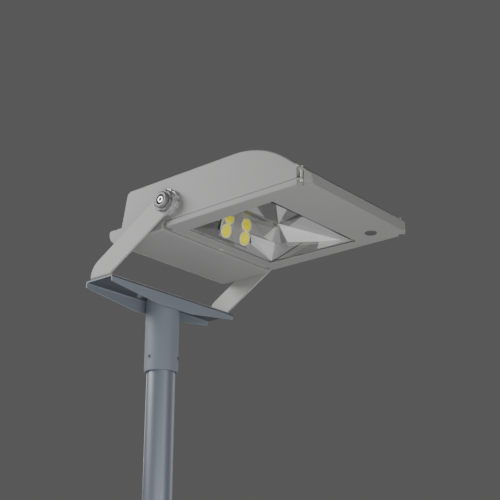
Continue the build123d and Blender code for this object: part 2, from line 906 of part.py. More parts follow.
def make_gland():
    """Cable gland: hexagon on the wall, domed nut outside, threaded stem inside."""
    body = extrude(RegularPolygon(gland_hex_r, 6), gland_hex_h)
    nut = chamfer(post(gland_hex_r - 1.5, gland_dome_h).edges().sort_by(Axis.Z)[-1], gland_dome_edge)
    body += Pos(0, 0, gland_hex_h) * nut
    body += Pos(0, 0, -gland_stem) * post(gland_thread_r, gland_stem)
    return gland_seat() * (body - Pos(0, 0, gland_dome_h - 1) * post(gland_entry_r, gland_dome_h))


def make_gland_nut():
    nut = extrude(RegularPolygon(gland_hex_r, 6), gland_nut_t)
    nut -= post(gland_thread_r + pivot_gap, gland_nut_t)
    return gland_seat() * Pos(0, 0, -wall - gland_nut_t) * nut


def make_bulkhead_grommet():
    return passage() * collar_ring(passage_r, passage_r - grommet_wall, wall)


# Reflector


def ceiling_z(y):
    """Height of the straight edge between ceiling and side wall."""
    share = (y - mirror_front_y) / (mirror_rear_y - mirror_front_y)
    return mirror_low_z + share * (ceiling_rear_z - mirror_low_z)


def star_points():
    """Right half of the fan's outline, from the front's middle round to the niche."""
    points = []
    sign = 1
    for x in front_folds:
        points.append((x, mirror_front_y, mirror_low_z + fold_relief * (1 + sign) / 2))
        sign = -sign
    points.append((mirror_half, mirror_front_y, mirror_low_z))
    sign = 1
    for y in side_folds:
        points.append((mirror_half, y, ceiling_z(y) + sign * fold_relief / 2))
        sign = -sign
    points.append((mirror_half, mirror_rear_y, ceiling_rear_z))
    points.append((rear_joint_x, mirror_rear_y, rear_joint_z))
    points.append((niche_half, niche_top_y, niche_top_z))
    return points


def plate(corners, direction):
    """Flat piece of sheet between corners, thickened along one direction."""
    return extrude(Face(Wire.make_polygon(corners)), amount=sheet, dir=direction)


def make_star():
    """Faceted ceiling: a fan of folded triangles that meet at the star's point."""
    right = star_points()
    left = [(-x, y, z) for x, y, z in reversed(right)]
    ring = right + left
    centre = (0, star_y, star_z)
    star = plate([centre, ring[-1], ring[0]], (0, 0, 1))
    for first, second in zip(ring, ring[1:]):
        star += plate([centre, first, second], (0, 0, 1))
    return star


def make_side_reflector():
    """Right side wall, upright, with a crease, a hem over the star and a flange."""
    top = [(y, z + 3) for x, y, z in star_points() if x == mirror_half]
    side = outline((mirror_foot_y, mirror_low_z), *reversed(top), (mirror_front_y - 2, mirror_low_z))
    wall_sheet = across(side, mirror_half, mirror_half + sheet)
    flange = block(
        mirror_half,
        flange_reach,
        boss_ys[0] - flange_end_gap,
        boss_ys[-1] + flange_end_gap,
        flange_z,
        flange_z + sheet,
    )
    for y in boss_ys:
        flange -= Pos(flange_hole_x, y, flange_z) * post(small_screw_r + bolt_play, sheet)
    low = (mirror_foot_y - 6, mirror_low_z + 1)
    high = (crease_y, ceiling_z(crease_y) - 1)
    crease = outline(low, (low[0] - crease_w, low[1]), (high[0] - crease_w, high[1]), high)
    bead = across(crease, mirror_half - crease_t, mirror_half)
    return wall_sheet + flange + bead


def make_rear_reflector():
    """Rear wall with bright wings, and the ramp down to the window's rear edge."""
    wing_top = (niche_half, niche_top_y, niche_top_z)
    joint = (rear_joint_x, mirror_rear_y, rear_joint_z)
    ceiling_corner = (mirror_half, mirror_rear_y, ceiling_rear_z)
    foot = (mirror_half, mirror_foot_y, mirror_low_z)
    inner_mid = (niche_half, mirror_rear_y, niche_mid_z)
    inner_low = (ramp_half, mirror_rear_y, ramp_top_z)
    wing = plate([wing_top, joint, inner_mid], (0, 1, 0))
    wing += plate([inner_mid, joint, ceiling_corner], (0, 1, 0))
    wing += plate([inner_mid, ceiling_corner, foot], (0, 1, 0))
    wing += plate([inner_mid, foot, inner_low], (0, 1, 0))
    ramp = plate(
        [
            (-inner_low[0], *inner_low[1:]),
            inner_low,
            foot,
            (-foot[0], *foot[1:]),
        ],
        (0, 1, 0),
    )
    whole = ramp + twin(wing)
    lowest = low_z - carrier_edge * cos(radians(low_lean)) - 2
    side = carrier_half + carrier_play
    return whole - block(-side, side, 2 * high_y, 0, lowest, 2 * niche_top_z)


def make_reflector_screws():
    screw = Rot(180, 0, 0) * socket_screw(small_head_r, small_head_h, small_screw_r, 9, small_socket)
    places = []
    for y in boss_ys:
        places += twin(Pos(flange_hole_x, y, flange_z) * screw)
    return places


# Light sources


def source_seat(x, y, z, lean):
    """Frame on a board's front face, its Z pointing at the star."""
    return Plane(
        origin=(x, y, z),
        x_dir=(1, 0, 0),
        z_dir=(0, -cos(radians(lean)), -sin(radians(lean))),
    ).location


def source_seats():
    return [
        source_seat(side * x, y, z, lean)
        for side in (-1, 1)
        for x, y, z, lean in (
            (low_x, low_y, low_z, low_lean),
            (high_x, high_y, high_z, high_lean),
        )
    ]


def make_boards():
    return [seat * Pos(0, 0, -board_t) * post(board_r, board_t) for seat in source_seats()]


def make_emitters():
    dome = chamfer(post(emitter_r, emitter_t).edges().sort_by(Axis.Z)[-1], emitter_t / 2)
    return [seat * dome for seat in source_seats()]


def carrier_front():
    """Foot, fold and head of the carrier's front in side view."""
    low = radians(low_lean)
    high = radians(high_lean)
    low_face = (low_y + board_t * cos(low), low_z + board_t * sin(low))
    high_face = (high_y + board_t * cos(high), high_z + board_t * sin(high))
    foot = (low_face[0] + carrier_edge * sin(low), low_face[1] - carrier_edge * cos(low))
    head = (high_face[0] - carrier_edge * sin(high), high_face[1] + carrier_edge * cos(high))
    rise = (high_face[1] - low_face[1] - (low_face[0] - high_face[0]) / tan(high))
    run = rise / (1 - tan(low) / tan(high))
    fold = (low_face[0] - run * tan(low), low_face[1] + run)
    return foot, fold, head


def make_carrier():
    foot, fold, head = carrier_front()
    side = outline(
        foot,
        fold,
        head,
        (bulkhead_y, head[1]),
        (bulkhead_y, carrier_low_z),
        (foot[0] + carrier_foot, carrier_low_z),
        (foot[0] + 8, foot[1]),
    )
    hollow = offset(side, -carrier_wall, kind=Kind.INTERSECTION)
    carrier = across(side - hollow, -carrier_half, carrier_half)
    for x, z in carrier_screw_places():
        hole = Pos(x, bulkhead_y - carrier_wall - 1, z) * Rot(-90, 0, 0)
        carrier -= hole * post(carrier_screw_r + pivot_gap, carrier_wall + 2)
    return carrier


def carrier_screw_places():
    levels = (carrier_low_z + carrier_screw_in, high_z + 8)
    return [(x, z) for x in (-carrier_screw_x, carrier_screw_x) for z in levels]


def make_carrier_screws():
    reach = wall + carrier_wall + thread_end
    screw = Rot(-90, 0, 0) * socket_screw(4.2, 4, carrier_screw_r, reach, 4)
    return [Pos(x, bulkhead_y + wall, z) * screw for x, z in carrier_screw_places()]


# Door


def door_plan():
    """Plan of the door: full width, but narrower inside the front lip."""
    rear = outline(
        (-head_half, lip_end_y + lip_gap),
        (head_half, lip_end_y + lip_gap),
        (head_half, door_rear_y),
        (-head_half, door_rear_y),
    )
    narrow = rounded_plan(
        head_half - wall - door_gap,
        front_y + wall + door_gap,
        door_rear_y,
        plan_corner_r - wall - door_gap,
        1,
    )
    wide = head_plan() & rear
    return wide + narrow


def window(grow=0.0):
    """Trapezoid window, wider at the front."""
    return outline(
        (-window_front_half - grow, window_front_y - grow),
        (window_front_half + grow, window_front_y - grow),
        (window_rear_half + grow, window_rear_y + grow),
        (-window_rear_half - grow, window_rear_y + grow),
    )


def make_door():
    door = upward(door_plan(), door_low_z, door_top_z)
    outer = door.edges().filter_by(lambda e: abs(e.center().Z - door_low_z) < 0.01)
    outer = outer.filter_by(lambda e: abs(abs(e.center().X) - head_half) < 0.01)
    door = fillet(outer, door_edge_r)
    rear = door.edges().filter_by(Axis.X).filter_by(lambda e: abs(e.center().Z - door_low_z) < 0.01)
    door = fillet(rear.sort_by(Axis.Y)[-1], door_rear_r)
    door -= upward(seal_plan(-rim_inner), door_low_z + door_floor, rim_z)
    door -= upward(window(), door_low_z, rim_z)
    door -= upward(window(glass_lap + glass_play), door_low_z + window_lip, rim_z)
    # Ribs inside the front bezel.
    rib_low = door_low_z + door_floor - 1
    for index in range(door_rib_count):
        x = (index - door_rib_count / 2) * door_rib_pitch
        door += block(
            x - door_rib_t / 2,
            x + door_rib_t / 2,
            seal_front_y + rim_inner - 1,
            window_front_y - glass_lap - door_rib_gap,
            rib_low,
            rib_low + door_rib_h + 1,
        )
    # Knuckle bars of the hinge, with their web.
    for side in (-1, 1):
        x0, x1 = sorted((side * (centre_lug_half + lug_gap), side * knuckle_end))
        bar = rod_x(knuckle_r, x0, x1, hinge_y, hinge_z)
        web_y = door_rear_y - door_rear_r
        bar += block(x0, x1, web_y, hinge_y, hinge_z - knuckle_web, hinge_z + knuckle_web)
        door += bar
        door -= rod_x(hinge_pin_d / 2 + pivot_gap, x0 - 1, x1 + 1, hinge_y, hinge_z)
    door -= Pos(vent_x, vent_y, door_low_z) * post(vent_r - vent_collar, door_floor)
    # Corner notches under the tongues that the closing screws pull up.
    tongue_z = door_top_z - door_tongue
    door -= corner_notches(tongue_z)
    for x in (-door_screw_x, door_screw_x):
        door -= Pos(x, door_screw_y, door_low_z) * post(pocket_r, tongue_z - door_low_z)
        door -= Pos(x, door_screw_y, door_low_z) * post(door_screw_d / 2 + bolt_play, door_t)
    for place in clip_places():
        door -= place * Pos(0, clip_hole_y, -2.6) * post(clip_screw_r + pivot_gap, door_floor)
    return door


def make_glass():
    pane = upward(window(glass_lap), glass_z, glass_z + glass_t)
    return fillet(pane.edges().filter_by(Axis.Z), glass_corner_r)


def make_gasket():
    ring = window(glass_lap) - window(glass_play)
    return upward(ring, glass_z - gasket_t, glass_z)


def clip_places():
    """Seats of the glass clips, each Y axis pointing away from the glass."""
    level = door_low_z + door_floor
    front_y = window_front_y - glass_lap
    rear_y = window_rear_y + glass_lap
    front = [Location((x, front_y, level), (0, 0, 180)) for x in (-clip_x, clip_x)]
    rear = [Location((x, rear_y, level)) for x in (-clip_x, clip_x)]
    slope = (window_front_half - window_rear_half) / (window_rear_y - window_front_y)
    y = window_front_y + clip_side_y
    x = window_front_half - slope * clip_side_y + glass_lap
    sides = [Location((x, y, level), (0, 0, -90)), Location((-x, y, level), (0, 0, 90))]
    return front + rear + sides


def make_clips():
    """Bent strips: foot on the door, riser and a tongue over the glass."""
    rise = glass_z + glass_t - door_low_z - door_floor
    riser_end = clip_gap + clip_t
    clip = block(-clip_half, clip_half, clip_gap, clip_foot, 0, clip_t)
    clip += block(-clip_half, clip_half, clip_gap, riser_end, 0, rise + clip_t)
    clip += block(-clip_half, clip_half, -clip_lap, riser_end, rise, rise + clip_t)
    clip -= Pos(0, clip_hole_y, 0) * post(clip_screw_r + bolt_play, clip_t)
    return [place * clip for place in clip_places()]


def make_clip_screws():
    screw = socket_screw(clip_head_r, 1.8, clip_screw_r, 3.4, 2)
    return [place * Pos(0, clip_hole_y, clip_t) * screw for place in clip_places()]


def make_door_screws():
    """Closing screws, their heads under the door's tongues."""
    screw = socket_screw(door_screw_head_r, door_screw_head, door_screw_d / 2, door_screw_l, 5)
    seat = Pos(door_screw_x, door_screw_y, door_top_z - door_tongue)
    return twin(seat * Rot(180, 0, 0) * screw)


def make_vent():
    """Breather plug: a disc under the door with its stem through the floor."""
    plug = Pos(0, 0, -2) * chamfer(post(vent_r, 2).edges().sort_by(Axis.Z)[0], vent_edge)
    plug += post(vent_r - vent_collar - 0.1, door_floor + 3)
    plug -= Pos(0, 0, door_floor - 1) * post(vent_r - vent_mouth, 4)
    return Pos(vent_x, vent_y, door_low_z) * plug


def make_hinge_pins():
    return twin(rod_x(hinge_pin_d / 2, 1.5, knuckle_end + hinge_lug, hinge_y, hinge_z))


def in_head(shape):
    """Set a piece, or each of a group, on the tilt axis."""
    if isinstance(shape, list):
        return [pivot_place * one for one in shape]
    return pivot_place * shape


def save(name, shape):
    if isinstance(shape, list):
        shape = Compound(children=shape)
    export_step(shape, os.path.join("parts", name + ".step"))


os.makedirs("parts", exist_ok=True)
bolts, washers, nuts = bracket_fixing()
side_wall = make_side_reflector()
pieces = {
    "pole": make_pole(),
    "pole_sleeve": make_sleeve(),
    "set_screws": make_set_screws(),
    "traverse_plate": make_traverse(),
    "mounting_bracket": make_bracket(),
    "bracket_bolts": bolts,
    "bracket_washers": washers,
    "bracket_nuts": nuts,
    "cable_grommet": make_lead_grommet(),
}
head_pieces = {
    "housing": make_housing(),
    "index_rings": twin(make_index_ring()),
    "pivot_caps": twin(make_pivot_cap()),
    "pivot_bolts": twin(make_pivot_bolt()),
    "gear_cover": make_gear_cover(),
    "cover_screws": make_cover_screws(),
    "led_carrier": make_carrier(),
    "carrier_screws": make_carrier_screws(),
    "led_boards": make_boards(),
    "led_emitters": make_emitters(),
    "star_reflector": make_star(),
    "side_reflector_right": side_wall,
    "side_reflector_left": mirror(side_wall, about=Plane.YZ),
    "rear_reflector": make_rear_reflector(),
    "reflector_screws": make_reflector_screws(),
    "bulkhead_grommet": make_bulkhead_grommet(),
    "gear_tray": make_gear_tray(),
    "tray_screws": make_tray_screws(),
    "driver": make_driver(),
    "terminal_block": make_terminal_block(),
    "cable_gland": make_gland(),
    "gland_nut": make_gland_nut(),
    "door_seal": make_door_seal(),
    "hinge_pins": make_hinge_pins(),
    "door_frame": make_door(),
    "glass_pane": make_glass(),
    "glass_gasket": make_gasket(),
    "glass_clips": make_clips(),
    "clip_screws": make_clip_screws(),
    "door_screws": make_door_screws(),
    "vent_plug": make_vent(),
}
for name, shape in pieces.items():
    save(name, shape)
for name, shape in head_pieces.items():
    save(name, in_head(shape))
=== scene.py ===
import json
import math

import bmesh
import bpy
from mathutils import Matrix, Vector


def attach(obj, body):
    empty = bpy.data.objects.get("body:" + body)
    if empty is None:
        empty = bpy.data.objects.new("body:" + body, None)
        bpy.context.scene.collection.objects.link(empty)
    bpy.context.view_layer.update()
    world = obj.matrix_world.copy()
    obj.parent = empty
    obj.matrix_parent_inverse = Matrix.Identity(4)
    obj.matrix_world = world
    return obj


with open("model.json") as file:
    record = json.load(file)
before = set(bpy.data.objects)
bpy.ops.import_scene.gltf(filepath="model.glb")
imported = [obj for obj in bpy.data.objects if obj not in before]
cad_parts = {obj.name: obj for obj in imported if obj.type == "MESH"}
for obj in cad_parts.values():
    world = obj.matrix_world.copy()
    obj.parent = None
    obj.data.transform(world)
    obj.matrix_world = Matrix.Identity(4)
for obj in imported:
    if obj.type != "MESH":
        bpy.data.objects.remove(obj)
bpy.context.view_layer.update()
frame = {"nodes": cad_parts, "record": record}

# Flood light on a pole. Metres, in the solids' frame: X right, Y to the back, Z up.

# Places taken over from the construction
PIVOT = Vector((0.0, -0.2236, 0.7522))
STAR = PIVOT + Vector((0.0, -0.1759, -0.0352))
MIRROR_HALF = 0.165
MIRROR_FRONT = PIVOT.y - 0.278
MIRROR_REAR = PIVOT.y - 0.0324
TRAVERSE_TOP = 0.600
TRAVERSE_HALF = 0.2315

# Joint between housing and door: painted shade of the gap, a dark line from the lip to the
# door's rear
PARTING = PIVOT.z - 0.0455
JOINT_SHADE = 0.0024
JOINT_SHADE_TONE = 0.5
LIP_END = PIVOT.y - 0.410
DOOR_REAR = PIVOT.y + 0.0126

# Colours that several materials share
GREY = (0.25, 0.25, 0.247)
STEEL_BLUE = (0.215, 0.243, 0.282)
CAST = (0.33, 0.33, 0.33)

# Print on the glass: outline in millimetres from the pivot, level and thickness in metres
PRINT_OUTER = ((-177.2, -298.6), (177.2, -298.6), (167.0, -14.2), (-167.0, -14.2))
PRINT_INNER = ((-164.6, -291.0), (164.6, -291.0), (164.6, -22.4), (-164.6, -22.4))
PRINT_LEVEL = PIVOT.z - 0.05549
PRINT_T = 0.00003

# Grain of the coats, in turns per metre
FINE_GRAIN = 900.0
MOULD_GRAIN = 1400.0
FLOOR_GRAIN = 120.0

nodes = frame["nodes"]


# Materials


def new_group(name, inputs, outputs):
    """Empty shader group with named inputs (name, kind, value) and outputs (name, kind)."""
    tree = bpy.data.node_groups.new(name, "ShaderNodeTree")
    for label, kind, value in inputs:
        socket = tree.interface.new_socket(label, in_out="INPUT", socket_type=kind)
        socket.default_value = value
    for label, kind in outputs:
        tree.interface.new_socket(label, in_out="OUTPUT", socket_type=kind)
    return tree, tree.nodes.new("NodeGroupInput"), tree.nodes.new("NodeGroupOutput")


def maths(tree, operation, first, second=None, clamp=False):
    """Maths node; each operand is a socket or a number."""
    node = tree.nodes.new("ShaderNodeMath")
    node.operation = operation
    node.use_clamp = clamp
    for place, value in enumerate((first, second)):
        if value is None:
            continue
        if isinstance(value, (int, float)):
            node.inputs[place].default_value = value
        else:
            tree.links.new(value, node.inputs[place])
    return node.outputs[0]


def noise(tree, vector, scale, detail=2.0, rough=0.5):
    """Noise of 0..1; the scale is a socket or a number."""
    node = tree.nodes.new("ShaderNodeTexNoise")
    node.inputs["Detail"].default_value = detail
    node.inputs["Roughness"].default_value = rough
    tree.links.new(vector, node.inputs["Vector"])
    if isinstance(scale, (int, float)):
        node.inputs["Scale"].default_value = scale
    else:
        tree.links.new(scale, node.inputs["Scale"])
    return node.outputs["Fac"]


def spread(tree, value, low, high):
    """Maps 0..1 to low..high; low and high are sockets or numbers.

    With a mask as the value, it gives low outside the mask and high inside it.
    """
    node = tree.nodes.new("ShaderNodeMapRange")
    tree.links.new(value, node.inputs["Value"])
    for label, bound in (("To Min", low), ("To Max", high)):
        if isinstance(bound, (int, float)):
            node.inputs[label].default_value = bound
        else:
            tree.links.new(bound, node.inputs[label])
    return node.outputs["Result"]


def tinted(tree, colour, factor):
    """Colour times a grey factor."""
    node = tree.nodes.new("ShaderNodeVectorMath")
    node.operation = "SCALE"
    tree.links.new(colour, node.inputs[0])
    tree.links.new(factor, node.inputs["Scale"])
    return node.outputs[0]


LOOK_OUTPUTS = [
    ("Colour", "NodeSocketColor"),
    ("Roughness", "NodeSocketFloat"),
    ("Height", "NodeSocketFloat"),
]


def coat_group():
    """Powder coat: fine orange-peel height, faint mottling and uneven gloss."""
    tree, start, end = new_group(
        "powder coat",
        [
            ("Place", "NodeSocketVector", (0, 0, 0)),
            ("Colour", "NodeSocketColor", (0.5, 0.5, 0.5, 1)),
            ("Mottle", "NodeSocketFloat", 0.03),
            ("Grain", "NodeSocketFloat", FINE_GRAIN),
            ("Roughness", "NodeSocketFloat", 0.5),
        ],
        LOOK_OUTPUTS,
    )
    place = start.outputs["Place"]
    broad = noise(tree, place, 9.0, 3.0)
    fine = noise(tree, place, start.outputs["Grain"], 2.0)
    low = maths(tree, "SUBTRACT", 1.0, start.outputs["Mottle"])
    high = maths(tree, "ADD", 1.0, start.outputs["Mottle"])
    colour = tinted(tree, start.outputs["Colour"], spread(tree, broad, low, high))
    tree.links.new(colour, end.inputs["Colour"])
    less = maths(tree, "MULTIPLY", start.outputs["Roughness"], 0.88)
    more = maths(tree, "MULTIPLY", start.outputs["Roughness"], 1.12)
    tree.links.new(spread(tree, fine, less, more), end.inputs["Roughness"])
    tree.links.new(fine, end.inputs["Height"])
    return tree


def grain_group():
    """Rolled or turned metal: a cloudy grain, drawn out where the place is stretched."""
    tree, start, end = new_group(
        "metal grain",
        [
            ("Place", "NodeSocketVector", (0, 0, 0)),
            ("Colour", "NodeSocketColor", (0.7, 0.7, 0.7, 1)),
            ("Roughness", "NodeSocketFloat", 0.3),
            ("Contrast", "NodeSocketFloat", 0.06),
        ],
        LOOK_OUTPUTS,
    )
    streak = noise(tree, start.outputs["Place"], 240.0, 3.0, 0.6)
    low = maths(tree, "SUBTRACT", 1.0, start.outputs["Contrast"])
    high = maths(tree, "ADD", 1.0, start.outputs["Contrast"])
    colour = tinted(tree, start.outputs["Colour"], spread(tree, streak, low, high))
    tree.links.new(colour, end.inputs["Colour"])
    less = maths(tree, "MULTIPLY", start.outputs["Roughness"], 0.8)
    more = maths(tree, "MULTIPLY", start.outputs["Roughness"], 1.25)
    tree.links.new(spread(tree, streak, less, more), end.inputs["Roughness"])
    tree.links.new(streak, end.inputs["Height"])
    return tree


def start_material(name):
    """Material with only its Principled shader; gives tree, shader and place socket too."""
    material = bpy.data.materials.new(name)
    material.use_nodes = True
    tree = material.node_tree
    shader = tree.nodes["Principled BSDF"]
    place = tree.nodes.new("ShaderNodeTexCoord").outputs["Object"]
    return material, tree, shader, place


def stretched(tree, place, scale):
    """Place scaled along its axes."""
    node = tree.nodes.new("ShaderNodeMapping")
    node.inputs["Scale"].default_value = scale
    tree.links.new(place, node.inputs["Vector"])
    return node.outputs["Vector"]


def add_bump(tree, shader, height, strength, distance):
    bump = tree.nodes.new("ShaderNodeBump")
    bump.inputs["Strength"].default_value = strength
    bump.inputs["Distance"].default_value = distance
    tree.links.new(height, bump.inputs["Height"])
    tree.links.new(bump.outputs["Normal"], shader.inputs["Normal"])


def grouped(tree, shader, look, place, colour, roughness, **others):
    """Puts a group in front of the shader and gives the group's node."""
    group = tree.nodes.new("ShaderNodeGroup")
    group.node_tree = look
    tree.links.new(place, group.inputs["Place"])
    if isinstance(colour, tuple):
        group.inputs["Colour"].default_value = (*colour, 1)
    else:
        tree.links.new(colour, group.inputs["Colour"])
    group.inputs["Roughness"].default_value = roughness
    for label, value in others.items():
        group.inputs[label].default_value = value
    tree.links.new(group.outputs["Colour"], shader.inputs["Base Color"])
    tree.links.new(group.outputs["Roughness"], shader.inputs["Roughness"])
    return group


def coated(name, colour, roughness=0.5, metallic=0.0, grain=FINE_GRAIN):
    """Powder-coated metal."""
    material, tree, shader, place = start_material(name)
    group = grouped(
        tree, shader, powder_coat, place, colour, roughness, Mottle=0.02, Grain=grain
    )
    shader.inputs["Metallic"].default_value = metallic
    add_bump(tree, shader, group.outputs["Height"], 0.12, 0.0002)
    return material


def split_place(tree):
    """The three measures of the place on the object."""
    place = tree.nodes.new("ShaderNodeTexCoord").outputs["Object"]
    split = tree.nodes.new("ShaderNodeSeparateXYZ")
    tree.links.new(place, split.inputs[0])
    return split.outputs


def scale_colour(material, factor):
    """Multiplies the base colour by a grey socket."""
    tree = material.node_tree
    shader = tree.nodes["Principled BSDF"]
    coat = shader.inputs["Base Color"].links[0].from_socket
    tree.links.new(tinted(tree, coat, factor), shader.inputs["Base Color"])
    return material


def shade_joint(material):
    """Paints the shade of the gap between housing and door along their sides."""
    tree = material.node_tree
    reach = split_place(tree)
    away = maths(tree, "ABSOLUTE", maths(tree, "SUBTRACT", reach["Z"], PARTING))
    outside = maths(tree, "DIVIDE", away, JOINT_SHADE, clamp=True)
    lip = maths(tree, "LESS_THAN", reach["Y"], LIP_END)
    tail = maths(tree, "GREATER_THAN", reach["Y"], DOOR_REAR)
    outside = maths(tree, "MAXIMUM", outside, maths(tree, "MAXIMUM", lip, tail))
    return scale_colour(material, spread(tree, outside, JOINT_SHADE_TONE, 1.0))


def tint_box(material, low, high, factor):
    """Multiplies the base colour inside a box, which is the same left and right."""
    tree = material.node_tree
    reach = split_place(tree)
    mask = None
    for axis, least, most in zip("XYZ", low, high):
        along = maths(tree, "ABSOLUTE", reach[axis]) if axis == "X" else reach[axis]
        above = maths(tree, "GREATER_THAN", along, least)
        below = maths(tree, "LESS_THAN", along, most)
        both = maths(tree, "MULTIPLY", above, below)
        mask = both if mask is None else maths(tree, "MULTIPLY", mask, both)
    return scale_colour(material, spread(tree, mask, 1.0, factor))


def metal(name, colour, roughness, metallic=1.0):
    """Bare metal with a fine grain."""
    material, tree, shader, place = start_material(name)
    group = grouped(tree, shader, metal_grain, place, colour, roughness)
    shader.inputs["Metallic"].default_value = metallic
    add_bump(tree, shader, group.outputs["Height"], 0.08, 0.0001)
    return material


def moulded(name, colour, roughness=0.5, bump=0.15):
    """Moulded plastic or rubber with a fine matt grain."""
    material, tree, shader, place = start_material(name)
    group = grouped(
        tree, shader, powder_coat, place, colour, roughness, Mottle=0.06, Grain=MOULD_GRAIN
    )
    add_bump(tree, shader, group.outputs["Height"], bump, 0.0002)
    return material


def near_pivot(x, y, z):
    """Place given in millimetres from the pivot, as metres in the scene."""
    return x / 1000, PIVOT.y + y / 1000, PIVOT.z + z / 1000


def channel_material():
    """Coat of the traverse, with painted shade on its web's inner face and on its cut ends.
    """
    material = coated("traverse coat", STEEL_BLUE, metallic=0.3)
    under, over = TRAVERSE_TOP - 0.0045, TRAVERSE_TOP - 0.0005
    # Painted shade on the inner face of the channel's web.
    tint_box(material, (-1, -1, under), (TRAVERSE_HALF, 1, over), 0.3)
    # Painted shade on the cut ends, darkened against the light that falls on them.
    return tint_box(material, (TRAVERSE_HALF, -1, 0), (1, 1, 1), 0.5)


def housing_material():
    """Coat of the housing, with painted shade at its joint, painted light in the lamp
    chamber and a painted highlight on the hinge's middle lug.
    """
    material = shade_joint(coated("housing coat", GREY))
    # Painted light: the lamp chamber's walls brightened where they lie in shade.
    tint_box(material, near_pivot(-1, -300, -44.5), near_pivot(206.5, 28.6, 30), 2.6)
    # Painted highlight on the hinge's middle lug.
    return tint_box(material, near_pivot(-1, 13, -70), near_pivot(8, 20.5, -56), 1.6)


def door_material():
    """Coat of the door, with painted shade at its joint and on the narrow lip in front of
    the glass.
    """
    material = shade_joint(coated("door coat", GREY))
    # Painted shade: a dark line along the lip in front of the glass.
    return tint_box(material, near_pivot(-1, -293, -100), near_pivot(170, -289.8, 100), 0.2)


def carrier_material():
    """Bare extrusion of the light sources' carrier, with painted light brightening its
    flanks.
    """
    material = metal("carrier aluminium", CAST, 0.42, metallic=0.3)
    # Painted light: the flanks brightened where they lie in shade.
    return tint_box(material, near_pivot(55.4, -300, -100), near_pivot(60, 100, 100), 2.9)


def plan_angle(tree, place):
    """Turn about the star's point in plan, as a share of a full turn: 0.5 at the front."""
    split = tree.nodes.new("ShaderNodeSeparateXYZ")
    tree.links.new(place, split.inputs[0])
    forward = maths(tree, "SUBTRACT", STAR.y, split.outputs["Y"])
    turn = maths(tree, "ARCTAN2", split.outputs["X"], forward)
    share = maths(tree, "DIVIDE", turn, 2 * math.pi)
    return maths(tree, "ADD", share, 0.5)


def star_material():
    """Facets of anodised sheet, with painted light and shade: each facet gets a painted
    brightness standing for its reflection and shade.
    """
    material, tree, shader, place = start_material("star facets")
    ramp = tree.nodes.new("ShaderNodeValToRGB")
    ramp.color_ramp.interpolation = "CONSTANT"
    tree.links.new(plan_angle(tree, place), ramp.inputs["Fac"])
    stops = ramp.color_ramp.elements
    stops.remove(stops[-1])
    stops[0].position = 0.0
    stops[0].color = (STAR_PAINTED_TONES[0][2],) * 3 + (1,)
    for x, y, tone in STAR_PAINTED_TONES[1:]:
        stop = stops.new(math.atan2(x, STAR.y - y) / (2 * math.pi) + 0.5)
        stop.color = (tone, tone, tone, 1)
    tone = ramp.outputs["Color"]
    # Painted light and shade: areas within the facets get their own tones.
    for value, *lines in STAR_PAINTED_MASKS:
        mask = None
        for first, last in lines:
            side = side_of_line(tree, place, on_plan(first), on_plan(last), "X", "Y")
            mask = side if mask is None else maths(tree, "MULTIPLY", mask, side)
        tone = spread(tree, mask, tone, value)
    rolled = stretched(tree, place, (1, 0.05, 1))
    grouped(tree, shader, metal_grain, rolled, tone, 0.6, Contrast=0.03)
    shader.inputs["Metallic"].default_value = 0.1
    shader.inputs["Specular IOR Level"].default_value = 0.2
    return material


def on_plan(point):
    """Place on the drawing, in millimetres from the pivot, as metres in the scene."""
    return point[0] / 1000, PIVOT.y + point[1] / 1000


def side_of_line(tree, place, start, end, across, up):
    """1 to the right of a line from start to end, seen along the third axis, else 0."""
    split = tree.nodes.new("ShaderNodeSeparateXYZ")
    tree.links.new(place, split.inputs[0])
    run = maths(tree, "SUBTRACT", split.outputs[across], start[0])
    rise = maths(tree, "SUBTRACT", split.outputs[up], start[1])
    first = maths(tree, "MULTIPLY", run, end[1] - start[1])
    second = maths(tree, "MULTIPLY", rise, end[0] - start[0])
    return maths(tree, "GREATER_THAN", maths(tree, "SUBTRACT", first, second), 0.0)


def wall_material(name, base, masks, across, roughness, metallic):
    """Reflector sheet with painted light and shade: a base tone and others to the right of
    its lines.

    A mask is the start and the end of a line, in metres from the pivot, and a tone.
    """
    material, tree, shader, place = start_material(name)
    origin = Vector((getattr(PIVOT, across.lower()), PIVOT.z))
    tone = base
    for start, end, value in masks:
        first = origin + Vector(start)
        last = origin + Vector(end)
        tone = spread(tree, side_of_line(tree, place, first, last, across, "Z"), tone, value)
    tree.links.new(tone, shader.inputs["Base Color"])
    shader.inputs["Roughness"].default_value = roughness
    shader.inputs["Metallic"].default_value = metallic
    return material


def glass_material():
    """Thin clear pane, mostly see-through so that the light reaches the reflector."""
    material, tree, shader, place = start_material("clear glass")
    shader.inputs["Base Color"].default_value = (0.97, 0.99, 0.98, 1)
    shader.inputs["Transmission Weight"].default_value = 1.0
    shader.inputs["IOR"].default_value = 1.05
    shader.inputs["Alpha"].default_value = 0.12
    haze = spread(tree, noise(tree, place, 14.0), 0.0, 0.02)
    tree.links.new(haze, shader.inputs["Roughness"])
    return material


def emitter_material():
    """Yellow silicone over a fine grid of cells, a little deeper in each cell's middle."""
    material, tree, shader, place = start_material("yellow phosphor")
    cells = tree.nodes.new("ShaderNodeTexVoronoi")
    cells.inputs["Scale"].default_value = 420.0
    tree.links.new(place, cells.inputs["Vector"])
    ramp = tree.nodes.new("ShaderNodeValToRGB")
    ramp.color_ramp.elements[0].color = (0.96, 0.80, 0.0, 1)
    ramp.color_ramp.elements[1].color = (0.97, 0.95, 0.02, 1)
    tree.links.new(cells.outputs["Distance"], ramp.inputs["Fac"])
    tree.links.new(ramp.outputs["Color"], shader.inputs["Base Color"])
    gloss = spread(tree, noise(tree, place, 60.0), 0.3, 0.45)
    tree.links.new(gloss, shader.inputs["Roughness"])
    return material


